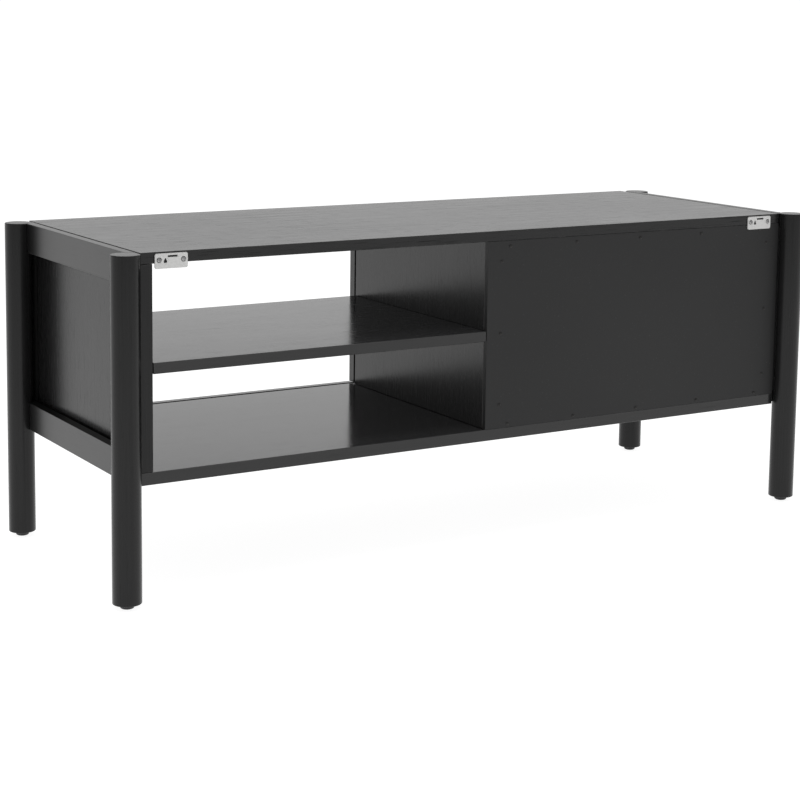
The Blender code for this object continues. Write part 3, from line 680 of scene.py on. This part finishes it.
def make_brackets():
    """Stamped plates with a strap slot, a keyhole and two screws, each with a gap round its head."""
    radius = BRACKET_SCREW[0] + BRACKET_SCREW_GAP
    mesh = screw_mesh("bracket_screw_head", DULL_ZINC, *BRACKET_SCREW, "cross")
    slot = rounded_outline(*STRAP_SLOT)
    keyhole = arc_points(*KEYHOLE, 122, 418, 24) + arc_points(*KEYHOLE_NECK, 0, 180, 8)
    reaches = (-BRACKET_SCREW_X, BRACKET_SCREW_X)
    rings = [arc_points((reach, BRACKET_SCREW_Z), radius, 0, 348, 29) for reach in reaches]
    for node in node_names("wall_bracket"):
        low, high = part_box(node)
        centre = (low + high) / 2
        edge = rounded_outline((high.x - low.x) / 2, (high.z - low.z) / 2, PLATE_ROUNDING)
        plate = flat_part(node + "_plate", [edge, slot, keyhole, *rings], high.y - low.y,
                          PLATE_BEVEL, WHITE_ZINC)
        plate.location = centre
        stand_for(plate, node)
        for number, reach in enumerate(reaches):
            place = (centre.x + reach, high.y - BRACKET_SCREW_SINK, centre.z + BRACKET_SCREW_Z)
            put_screw("%s_screw_%d" % (node, number), mesh, place, 0.4 + number)


def make_frame_bolts():
    """Button heads with a hexagon socket, inside the carcase, each with its shank."""
    for node in node_names("frame_bolt"):
        low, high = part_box(node)
        centre = (low + high) / 2
        inward = -1 if centre.x > 0 else 1
        inner_x = low.x if inward < 0 else high.x
        seat = Vector((inner_x - inward * BOLT_HEAD_HEIGHT, centre.y, centre.z))
        radius = (high.z - low.z) / 2
        mesh = screw_mesh(node + "_head", BLACK_STEEL, radius, BOLT_HEAD_HEIGHT, "hexagon")
        length = high.x - low.x - BOLT_HEAD_HEIGHT
        profile = [(0, 0), (SHANK_RADIUS, 0), (SHANK_RADIUS, length - SHANK_TIP),
                   (SHANK_TIP_RADIUS, length), (0, length)]
        start = seat + Vector((inward * SHANK_LIFT, 0, 0))
        bolt = turned_mesh(profile, start, (-inward, 0, 0), SHANK_SIDES)
        mesh.transform(Matrix.Translation(seat) @ axis_turn((inward, 0, 0)))
        bolt.from_mesh(mesh)
        bpy.data.meshes.remove(mesh)
        stand_for(keep_mesh(node + "_steel", bolt, BLACK_STEEL), node)


def make_shelf_pins():
    """Steel pins: a plug, a shoulder and a rounded stud under the shelf."""
    boards = {"closed_bay_left": "side_panel_left", "closed_bay_right": "centre_divider",
              "open_bay_left": "centre_divider", "open_bay_right": "side_panel_right"}
    for node in node_names("shelf_pin"):
        low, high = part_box(node)
        centre = (low + high) / 2
        board_low, board_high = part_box(next(boards[place] for place in boards if place in node))
        if "_left_" in node:
            out, face, root, tip = 1, board_high.x, low.x, high.x
        else:
            out, face, root, tip = -1, board_low.x, high.x, low.x
        radius = (high.z - low.z) / 2
        stud, reach, plug = radius * PIN_STUD, abs(tip - face), -abs(face - root)
        profile = [(0, plug), (PIN_PLUG_RADIUS, plug), (PIN_PLUG_RADIUS, 0.0003),
                   (radius - 0.0004, 0.0003), (radius, 0.0007), (radius, 0.0014),
                   (stud, 0.0020), (stud, reach - PIN_ROUNDING)]
        profile += arc_points((stud - PIN_ROUNDING, reach - PIN_ROUNDING), PIN_ROUNDING, 0, 90, 4)
        profile.append((0, reach))
        turned = turned_mesh(profile, Vector((face, centre.y, centre.z)), (out, 0, 0), SMALL_SIDES)
        stand_for(keep_mesh(node + "_turned", turned, ZINC), node)


def make_pulls():
    """Grip bars with soft edges, on the door's front."""
    for node in node_names("door_pull"):
        bar = soft_box(node + "_bar", *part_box(node), PULL_ROUNDING, BLACK_STEEL, 6)
        stand_for(bar, node)


def make_bumpers():
    """Round rubber pads that the door stops against."""
    for node in node_names("door_bumper"):
        low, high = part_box(node)
        centre = (low + high) / 2
        out = 1 if centre.x < 0 else -1
        base = Vector((low.x if out > 0 else high.x, centre.y, centre.z))
        radius, height = (high.z - low.z) / 2, high.x - low.x
        corner = (radius - BUMPER_ROUNDING, height - BUMPER_ROUNDING)
        profile = [(0, 0), (radius, 0), *arc_points(corner, BUMPER_ROUNDING, 0, 90, 5), (0, height)]
        turned = turned_mesh(profile, base, (out, 0, 0), SMALL_SIDES)
        stand_for(keep_mesh(node + "_pad", turned, RUBBER), node)


# ---------------------------------------------------------------- studio

def make_floor():
    bm = bmesh.new()
    bmesh.ops.create_circle(bm, cap_ends=True, segments=ROUND_SIDES, radius=FLOOR_RADIUS)
    material, tree, shader = start_material("floor", (FLOOR_COLOUR,) * 3, 0.9)
    shader.inputs["Emission Color"].default_value = (1.0, 1.0, 1.0, 1.0)
    shader.inputs["Emission Strength"].default_value = FLOOR_GLOW
    shader.inputs["Specular IOR Level"].default_value = 0.0
    floor = keep_mesh("floor", bm, material)
    floor.location.z = -FLOOR_DROP


def make_sky():
    """A dim room with one bright wall, which fades to each side and towards its foot."""
    world = bpy.data.worlds.new("studio")
    bpy.context.scene.world = world
    world.use_nodes = True
    tree = world.node_tree
    background = tree.nodes["Background"]
    direction = add_axes(tree, "Generated")
    agreement = add_sum(tree, *zip((direction["X"], direction["Y"]), WALL_HEADING))
    facing = add_range(tree, agreement, *WALL_SPREAD)
    height = add_range(tree, direction["Z"], *WALL_FOOT, WALL_FOOT_LIGHT, WALL_LIGHT)
    wall = add_math(tree, "MULTIPLY", facing, add_math(tree, "SUBTRACT", height, ROOM_LIGHT))
    room = add_math(tree, "ADD", wall, ROOM_LIGHT)
    strip = add_range(tree, direction["Z"], *HORIZON_BAND, 1.0, 0.0)
    lift = add_math(tree, "MULTIPLY", strip, add_math(tree, "SUBTRACT", HORIZON_LIGHT, room))
    tree.links.new(add_math(tree, "ADD", room, lift), background.inputs["Strength"])
    background.inputs["Color"].default_value = (1.0, 1.0, 1.0, 1.0)


def make_overhead():
    light = bpy.data.lights.new("overhead", "AREA")
    light.shape = "SQUARE"
    light.size = OVERHEAD_SIZE
    light.energy = OVERHEAD_WATTS
    put_object("overhead", light).location = OVERHEAD_PLACE


def make_camera():
    data = bpy.data.cameras.new("camera")
    data.lens = LENS_MM
    data.sensor_width = SENSOR_MM
    data.shift_y = LENS_SHIFT_Y
    camera = put_object("camera", data)
    heading = Matrix.Rotation(radians(CAMERA_HEADING), 4, "Z")
    tilt = Matrix.Rotation(radians(90.0 - CAMERA_TILT), 4, "X")
    roll = Matrix.Rotation(radians(CAMERA_ROLL), 4, "Z")
    camera.matrix_world = Matrix.Translation(CAMERA_PLACE) @ heading @ tilt @ roll
    bpy.context.scene.camera = camera
    bpy.context.scene.view_settings.view_transform = "Standard"


make_camera()
paint_boards()
paint_fittings()
make_back_panel()
make_legs()
make_feet()
make_back_screws()
make_brackets()
make_frame_bolts()
make_shelf_pins()
make_pulls()
make_bumpers()
make_floor()
make_sky()
make_overhead()
